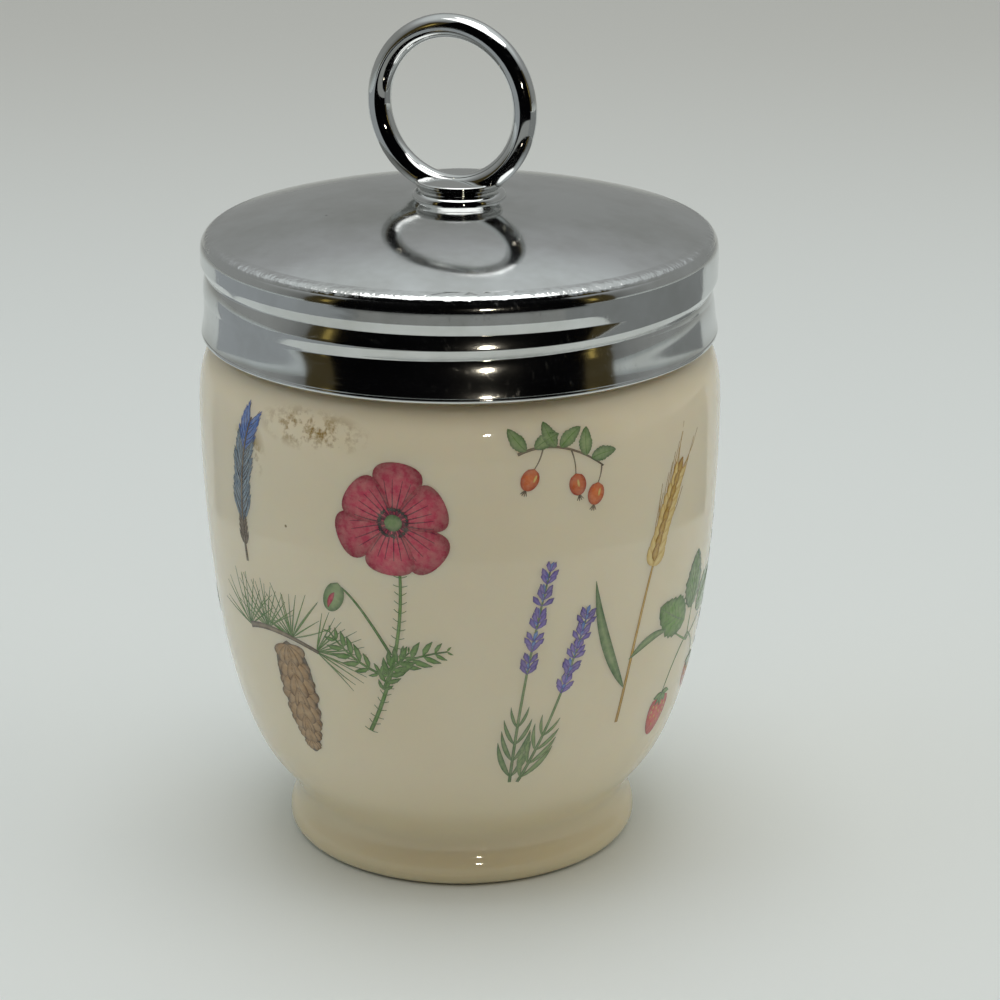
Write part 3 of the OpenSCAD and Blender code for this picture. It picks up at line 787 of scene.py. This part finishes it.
def poppy():
    # a big open flower on a hairy stem, a nodding bud and cut leaves
    sheet = newSheet()
    stalk = ((-2, -29), (3.5, -14), (0, 0))
    brush(sheet, stalk, 0.55, "stem", "moss")
    row(sheet, leaflet(0.9, 0.12, "needle", "moss"), stalk, 26, (1, 1), 70, jitter=0.3)
    side = ((0.4, -17.5), (-4.5, -10), (-7.0, -9.5))
    brush(sheet, side, 0.4, "stem", "moss")
    brush(sheet, reach((-6.8, -9.2), 252, 4.2, 0.08), 2.7, "drop", "sage", 1)
    brush(sheet, reach((-7.2, -10.6), 250, 2.4, -0.1), 0.7, "leaf", "poppyRed", 2)
    for start, angle, long in ((-1.3, 28, 9), (-1.6, 148, 8), (-1.0, 62, 6.5)):
        rib = reach((start + 0.6, -27 + 2.2 * (angle % 5)), angle, long, 0.14)
        brush(sheet, rib, 0.35, "stem", "moss", 1)
        row(sheet, leaflet(2.5, 0.8, "leaf", "moss"), rib, 7, (0.6, 0.35), 42, bulge=0.6)
    for k, angle in enumerate((88, 205, 322, 28, 148, 268)):  # three petals behind, three in front
        long = 7.6 if k < 3 else 6.8
        brush(sheet, reach((0, 0), angle, long), 8.2, "petal", "poppyRed", 1 + k, rim=0.65)
        for off in (-30, -18, -7, 6, 17, 29):
            brush(sheet, reach((0, 0), angle + off, long * 0.72, off / 400), 0.2, "needle", "plum", 2 + k)
    for angle in range(0, 360, 30):
        brush(sheet, reach((0, 0), angle + 8, 2.1), 0.5, "needle", "plum", 8)
    brush(sheet, reach((-1.1, 0), 0, 2.2), 2.1, "drop", "sage", 9)
    stamens = arc((0, 0), 1.9, 0, 360, 4)
    for here, there in zip(stamens, stamens[1:]):
        corner = tuple(p + q for p, q in zip(here, there))
        row(sheet, leaflet(0.42, 0.36, "drop", "ink", 10), (here, corner, there), 8, (1.0, 1.2), 90,
            jitter=0.8, both=False)
    return sheet


def lavender():
    # two spikes of small florets in whorls over narrow leaves
    sheet = newSheet()
    for stalk in (((0, 0), (-1.2, 14), (0.8, 30)), ((1.0, 0), (4.6, 12), (6.6, 24))):
        brush(sheet, stalk, 0.42, "stem", "sage")
        for start in (0.56, 0.66, 0.76, 0.86, 0.95):
            row(sheet, leaflet(1.9, 1.05, "petal", "violet"), stalk, 3, (0.95, 1.05 - start * 0.3), 34,
                jitter=0.3, lift=0.01, part=(start, start + 0.05))
            row(sheet, leaflet(1.7, 0.9, "petal", "sky", 2), stalk, 2, (0.7, 0.8), 6, jitter=0.3, both=False,
                part=(start + 0.015, start + 0.05))
        row(sheet, leaflet(6.0, 0.75, "leaf", "sage", coarse=False), stalk, 4, (1.0, 0.55), 22,
            part=(0.03, 0.3))
    return sheet


def wheat():
    # a bent ear with its awns, and two long leaves
    sheet = newSheet()
    stalk = ((0, 0), (0.5, 20), (6.5, 32))
    brush(sheet, stalk, 0.5, "stem", "ochre")
    row(sheet, leaflet(7.5, 0.16, "needle", "ochre", 0), stalk, 9, (1.0, 0.9), 15, part=(0.62, 1.0))
    row(sheet, leaflet(2.9, 1.35, "leaf", "straw", 1, coarse=False), stalk, 9, (1.0, 0.75), 30, lift=0.006,
        part=(0.6, 0.99))
    row(sheet, leaflet(2.6, 1.2, "leaf", "ochre", 8, coarse=False), stalk, 8, (0.95, 0.9), 2, both=False,
        part=(0.62, 1.0))
    brush(sheet, ((0.1, 5), (-5, 12), (-6.5, 21)), 1.5, "leaf", "sage", 1)
    brush(sheet, ((0.2, 9), (4, 12), (7.5, 11)), 1.2, "leaf", "sage", 1)
    return sheet


def strawberry():
    # two fruits hanging under a leaf of three toothed blades
    sheet = newSheet()
    for angle, at in ((150, (-2.0, 5.5)), (88, (0, 6.5)), (24, (2.2, 5.5))):
        brush(sheet, reach((0, 2), angle, 5.0, 0.05), 0.35, "stem", "moss")
        blade = reach(at, angle, 8.0, 0.06)
        brush(sheet, blade, 5.6, "toothed", "moss", 1)
        brush(sheet, blade, 0.25, "needle", "sage", 3)
        row(sheet, leaflet(2.4, 0.14, "needle", "sage", 3), blade, 6, (0.8, 0.4), 38, bulge=0.3,
            part=(0.12, 0.8))
    for stalk, fruit in ((((0, 3), (-3.5, 1), (-4.6, -4)), 4.9), (((0, 3), (3.5, 1), (4.0, -2)), 3.6)):
        tip = stalk[2]
        brush(sheet, stalk, 0.35, "stem", "moss")
        brush(sheet, reach(tip, 268, fruit * 1.25), fruit, "berry", "berryRed", 1)
        for i, long in enumerate((0.3, 0.5, 0.5, 0.3)):  # seeds in four rows, longer in the middle
            start = (tip[0] + (i - 1.5) * fruit * 0.2, tip[1] - fruit * (0.28 + 0.08 * (i % 2)))
            seeds = reach(start, 268, fruit * long)
            row(sheet, leaflet(0.5, 0.28, "drop", "straw", 3), seeds, 3, (1, 0.8), 0, both=False)
        for angle in (190, 232, 268, 305, 350):
            brush(sheet, reach((tip[0], tip[1] + 0.1), angle, 1.9, 0.1), 0.8, "leaf", "moss", 4)
    return sheet


def rosehips():
    # an arching twig with three hips and paired leaves
    sheet = newSheet()
    twig = ((-9, 5), (-1, 9), (9, 2))
    brush(sheet, twig, 0.6, "stem", "bark")
    for t, angle, long in ((0.3, 250, 4.5), (0.62, 285, 5.0), (0.98, 262, 3.6)):
        start = alongPath(twig, t)
        stalk = reach(start, angle, long, 0.1)
        brush(sheet, stalk, 0.32, "stem", "bark")
        end = stalk[2]
        brush(sheet, reach(end, angle, 4.6), 3.6, "drop", "hipRed", 1)
        brush(sheet, reach((end[0] + 0.5, end[1] - 1.2), angle, 1.6), 0.5, "drop", "straw", 3)
        tip = reach(end, angle, 4.5)[2]
        for off in (-34, -12, 12, 34):
            brush(sheet, reach(tip, angle + off, 1.3), 0.3, "needle", "bark", 2)
    for t, angle in ((0.1, 130), (0.2, 30), (0.45, 118), (0.5, 42), (0.8, 92), (0.86, 12)):
        blade = reach(alongPath(twig, t), angle, 5.6, 0.08)
        brush(sheet, blade, 2.9, "toothed", "sage", 1)
        brush(sheet, blade, 0.2, "needle", "moss", 2)
    return sheet


def feather():
    # a curved quill with short down at its root and close barbs, parted in three places
    sheet = newSheet()
    quill = ((-10, -5), (0, 2), (11, 3.5))
    for part, paint, size in (((0.1, 0.24), "bark", 0.5), ((0.26, 0.5), "slate", 1.0),
                              ((0.515, 0.74), "slate", 1.0), ((0.75, 0.97), "sky", 0.85)):
        long = part[1] - part[0]
        row(sheet, leaflet(4.2, 0.62, "leaf", paint, 1), quill, round(80 * long), (size, size * 0.85), 33,
            jitter=0.07, lift=0.001, part=part)
        row(sheet, leaflet(3.9, 0.16, "needle", "ink", 3), quill, round(34 * long), (size, size * 0.8), 31,
            jitter=0.12, part=part)
    brush(sheet, quill, 0.42, "stem", "bark", 5)
    return sheet


def pineTwig():
    # a hanging cone of overlapping scales, and fans of needles
    sheet = newSheet()
    twig = ((-8, 11), (-2, 12.5), (6, 9))
    brush(sheet, twig, 1.0, "stem", "bark", 1)
    for t in (0.0, 0.35, 0.7, 0.98):
        x, y = alongPath(twig, t)
        for k in range(15):
            angle = 20 + 140 * k / 14 + shake.uniform(-6, 6) if t < 0.9 else -50 + 120 * k / 14
            needle = reach((x, y), angle, shake.uniform(6.5, 9.0), shake.uniform(-0.06, 0.06))
            brush(sheet, needle, 0.26, "needle", "moss" if k % 3 else "sage")
    spine = ((0, 10), (0.8, 2), (0, -8.5))
    brush(sheet, spine, 7.2, "berry", "bark", 1)
    for spread, count, size, layer in ((60, 8, 0.9, 2), (34, 8, 0.95, 4), (9, 8, 0.95, 6)):
        row(sheet, leaflet(3.7, 2.9, "petal", "scale", layer, coarse=False), spine, count, (size, size * 0.5),
            spread, bulge=0.35, jitter=0.12, lift=0.003, part=(0.04, 0.9))
    return sheet


def fern():
    # one arching frond; each side branch is a row of its own
    sheet = newSheet()
    spine = ((0, 0), (-2, 17), (7, 31))
    branch = newSheet()
    rib = reach((0, 0), 0, 6.4, 0.08)
    brush(branch, rib, 0.2, "stem", "moss", 1, coarse=True)
    row(branch, leaflet(1.5, 0.7, "leaf", "moss"), rib, 7, (0.85, 0.35), 52, bulge=0.2, part=(0.1, 1))
    row(sheet, branch, spine, 15, (0.8, 0.22), 60, bulge=0.28, part=(0.16, 0.98))
    brush(sheet, spine, 0.5, "stem", "moss", 2)
    return sheet


# the belly's outline, and how far along it each point is
wallLine = bellyOutline(cup) + [(cup["neckR"], cup["shoulderZ"])]
wallRun = [0.0]
for lower, upper in zip(wallLine, wallLine[1:]):
    wallRun.append(wallRun[-1] + math.dist(lower, upper))


def onWall(run):
    # radius, height and outward normal at a distance up the belly
    run = max(0.0, min(wallRun[-1] - 1e-6, run))
    k = max(i for i, passed in enumerate(wallRun[:-1]) if passed <= run)
    share = (run - wallRun[k]) / (wallRun[k + 1] - wallRun[k])
    (r0, z0), (r1, z1) = wallLine[k], wallLine[k + 1]
    size = wallRun[k + 1] - wallRun[k]
    return r0 + (r1 - r0) * share, z0 + (z1 - z0) * share, (z1 - z0) / size, (r0 - r1) / size


def runAt(height):
    # the distance up the belly at a height
    k = max(i for i, (_, z) in enumerate(wallLine[:-1]) if z <= height)
    share = (height - wallLine[k][1]) / (wallLine[k + 1][1] - wallLine[k][1])
    return wallRun[k] + share * (wallRun[k + 1] - wallRun[k])


# sprig, turn from the camera's side in degrees, height in mm, tilt in degrees, size, mirrored
layout = [("feather", -53, 53, 62, 0.85, False), ("pineTwig", -41, 26, 6, 0.86, False),
          ("poppy", -14, 53, -4, 1.0, False), ("lavender", 12, 17, -6, 1.0, False),
          ("wheat", 40, 23, -2, 1.0, False), ("strawberry", 66, 28, 0, 1.0, False),
          ("fern", 92, 20, 8, 1.0, False), ("rosehips", 128, 50, 6, 0.95, True),
          ("pineTwig", 152, 26, -8, 0.9, True), ("poppy", 186, 52, 6, 0.95, True),
          ("lavender", 210, 18, 4, 1.0, True), ("feather", 240, 46, 24, 0.9, False),
          ("strawberry", 262, 26, -8, 0.95, True), ("wheat", -112, 22, 4, 0.95, True),
          ("rosehips", 21, 58, -4, 0.62, False)]
motifs = {"feather": feather, "pineTwig": pineTwig, "poppy": poppy, "lavender": lavender, "wheat": wheat,
          "strawberry": strawberry, "fern": fern, "rosehips": rosehips}


def paintSprigs():
    # each sprig is drawn flat, then laid on the belly by its own arc length
    whole = newSheet()
    drawn = {}
    for name, turn, height, tilt, size, mirrored in layout:
        drawn[name] = drawn.get(name) or motifs[name]()
        sprig = drawn[name]
        first, run0 = len(whole["points"]), runAt(height)
        c, s = math.cos(math.radians(tilt)), math.sin(math.radians(tilt))
        front = math.radians(camera["turn"] - 90 + turn)
        for x, y, h in sprig["points"]:
            x = -x if mirrored else x
            across, up = (x * c - y * s) * size, (x * s + y * c) * size
            r, z, outR, outZ = onWall(run0 + up)
            a = front + across / r
            r += h * outR
            whole["points"].append((r * mm * math.cos(a), r * mm * math.sin(a), (z + h * outZ) * mm))
        whole["paint"] += sprig["paint"]
        whole["faces"] += [tuple(first + i for i in face) for face in sprig["faces"]]
    mesh = sheetMesh("paintedSprigs", whole)
    tidyMesh(mesh, 35)
    made = addObject("paintedSprigs", mesh, enamel)
    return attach(made, "cup")


leafletTree()
painted = paintSprigs()
print("sprigs painted:", len(painted.data.polygons), "faces")

# metres; the floor's colour holds painted light near the object and painted shade behind it
stage = {"floorHalf": 3.0, "floorPaintedLight": "#e5eae8", "floorPaintedShade": "#d3d3cd", "fadeFrom": 0.12, "fadeTo": 0.6,
         "lightR": 1.0, "aimZ": 0.05}
# what the lid mirrors, and nothing else sees: name, turns from the camera's side and elevations in
# degrees, radius, colour, strength, columns and rows
cards = [("darkFlag", (-54, 54), (0.05, 78), 0.62, "#0b0b0d", 0.4, 36, 24),
         ("brownCard", (-68, -54), (0.5, 38), 0.62, "#5a5034", 0.55, 8, 8),
         ("goldCard", (-59.5, -56.5), (14, 26), 0.61, "#b09a55", 1.1, 8, 8),
         ("brownCard", (54, 68), (0.5, 38), 0.62, "#5a5034", 0.55, 8, 8),
         ("goldCard", (56.5, 59.5), (14, 26), 0.61, "#b09a55", 1.1, 8, 8),
         ("ceilingCard", (-90, 90), (61, 89.5), 0.61, "#ffffff", 2.6, 16, 6),
         ("smallLamp", (9.6, 12.4), (17.0, 19.6), 0.61, "#fff3dc", 60, 4, 4)]
# the same just over the floor: name, turns, inner and outer radius, height, colour, strength
floorCards = [("dimFloor", (-130, -44), 0.13, 0.6, 0.0005, "#9ca1a3", 1.0),
              ("dimFloor", (-44, 44), 0.13, 0.6, 0.0005, "#949693", 1.0),
              ("dimFloor", (44, 130), 0.13, 0.6, 0.0005, "#858887", 1.0),
              ("tableEnd", (-54, 54), 0.335, 0.6195, 0.001, "#0b0b0d", 0.4)]
# name, turn from the camera's side, elevation, size, power, colour, whether reflections see it
lights = [("softTop", 180, 88, 0.5, 2.75, "#ffffff", True),
          ("frontFill", 0, 52, 0.6, 0.98, "#ffe6c8", False),
          ("leftFill", -82, 30, 0.6, 0.75, "#dceaff", False),
          ("rightFill", 82, 30, 0.6, 0.95, "#fffaf2", False)]
# colours of the room from its level to overhead; the side in front of the object is dim
sky = [(0.0, "#959795"), (0.38, "#969896"), (0.55, "#abadad"), (0.68, "#d0d5d5"), (0.95, "#e6eaea")]
frontShade = 0.25


def emitter(name, colour, strength):
    material, tree, shader = newMaterial(name)
    tree.nodes.remove(shader)
    glow = addNode(tree, "ShaderNodeEmission", None, {"Color": hexColour(colour), "Strength": strength})
    tree.links.new(glow.outputs[0], tree.nodes["Material Output"].inputs["Surface"])
    return material


def addCard(name, points, faces, colour, strength):
    # a glowing sheet that only reflections see
    mesh = bpy.data.meshes.new(name)
    mesh.from_pydata(points, [], faces)
    made = addObject(name, mesh, emitter(name, colour, strength))
    made.visible_camera = made.visible_diffuse = made.visible_shadow = False


def anglesBetween(pair, steps):
    # radians from the first to the second of a pair of degrees
    return [math.radians(pair[0] + (pair[1] - pair[0]) * i / steps) for i in range(steps + 1)]


def curvedCard(name, turns, highs, radius, colour, strength, columns, rows):
    # a patch of a sphere round the object
    front, wide = math.radians(camera["turn"]), columns + 1
    points = [(radius * math.sin(front + a) * math.cos(e), -radius * math.cos(front + a) * math.cos(e),
               radius * math.sin(e))
              for e in anglesBetween(highs, rows) for a in anglesBetween(turns, columns)]
    faces = [(i * wide + j, (i + 1) * wide + j, (i + 1) * wide + j + 1, i * wide + j + 1)
             for i in range(rows) for j in range(columns)]
    addCard(name, points, faces, colour, strength)


def ringCard(name, turns, inner, outer, high, colour, strength, columns=24):
    # a part of a flat ring round the object
    front = math.radians(camera["turn"])
    points = [(r * math.sin(front + a), -r * math.cos(front + a), high)
              for a in anglesBetween(turns, columns) for r in (inner, outer)]
    faces = [(2 * j, 2 * j + 1, 2 * j + 3, 2 * j + 2) for j in range(columns)]
    addCard(name, points, faces, colour, strength)


def makeFloor():
    half = stage["floorHalf"]
    tableTop, tree, shader = newMaterial("tableTop")  # matt white laminate
    where = addNode(tree, "ShaderNodeTexCoord").outputs["Object"]
    turned = addNode(tree, "ShaderNodeMapping", {"vector_type": "TEXTURE"}, {
        "Vector": where, "Rotation": (0, 0, math.radians(camera["turn"]))})
    away = addNode(tree, "ShaderNodeSeparateXYZ", None, {"Vector": turned.outputs["Vector"]}).outputs["Y"]
    # painted light near the object and painted shade behind it, mixed into the floor's colour
    far = addNode(tree, "ShaderNodeMapRange", {"interpolation_type": "SMOOTHSTEP"}, {
        "Value": away, "From Min": stage["fadeFrom"], "From Max": stage["fadeTo"]})
    tone = addNode(tree, "ShaderNodeMix", {"data_type": "RGBA"}, {
        "Factor": far.outputs["Result"], "A": hexColour(stage["floorPaintedLight"]),
        "B": hexColour(stage["floorPaintedShade"])})
    tree.links.new(tone.outputs["Result"], shader.inputs["Base Color"])
    shader.inputs["Roughness"].default_value = 0.5
    mesh = bpy.data.meshes.new("floor")
    corners = [(-half, -half, 0), (half, -half, 0), (half, half, 0), (-half, half, 0)]
    mesh.from_pydata(corners, [], [(0, 1, 2, 3)])
    addObject("floor", mesh, tableTop)


def areaLight(name, turn, elevation, size, power, colour, glossy):
    a, e = math.radians(camera["turn"] + turn), math.radians(elevation)
    away = Vector((math.sin(a) * math.cos(e), -math.cos(a) * math.cos(e), math.sin(e)))
    data = bpy.data.lights.new(name, "AREA")
    data.size = size
    data.energy = power
    data.color = hexColour(colour)[:3]
    made = bpy.data.objects.new(name, data)
    made.location = Vector((0, 0, stage["aimZ"])) + away * stage["lightR"]
    made.rotation_mode = "QUATERNION"
    made.rotation_quaternion = away.to_track_quat("Z", "Y")
    made.visible_glossy = glossy
    bpy.context.scene.collection.objects.link(made)


def makeWorld():
    world = bpy.data.worlds.new("studio")
    world.use_nodes = True
    tree = world.node_tree
    where = addNode(tree, "ShaderNodeTexCoord").outputs["Generated"]
    split = addNode(tree, "ShaderNodeSeparateXYZ", None, {"Vector": where})
    turn = math.radians(camera["turn"])
    facing = addNode(tree, "ShaderNodeVectorMath", {"operation": "DOT_PRODUCT"}, {
        0: where, 1: (math.sin(turn), -math.cos(turn), 0)})
    shade = addNode(tree, "ShaderNodeMapRange", {"interpolation_type": "SMOOTHSTEP"}, {
        "Value": facing.outputs["Value"], "From Min": -0.1, "From Max": 0.7, "To Min": 1.0,
        "To Max": frontShade})
    ramp = addNode(tree, "ShaderNodeValToRGB", None, {"Fac": split.outputs["Z"]})
    stops = ramp.color_ramp.elements
    for stop, (place, code) in ((stops[0], sky[0]), (stops[1], sky[-1])):
        stop.position, stop.color = place, hexColour(code)
    for place, code in sky[1:-1]:
        stops.new(place).color = hexColour(code)
    tree.links.new(ramp.outputs["Color"], tree.nodes["Background"].inputs["Color"])
    tree.links.new(shade.outputs["Result"], tree.nodes["Background"].inputs["Strength"])
    bpy.context.scene.world = world


makeFloor()
for card in cards:
    curvedCard(*card)
for card in floorCards:
    ringCard(*card)
makeWorld()
for light in lights:
    areaLight(*light)
bpy.context.scene.view_settings.view_transform = "Standard"
print("stage and light set")
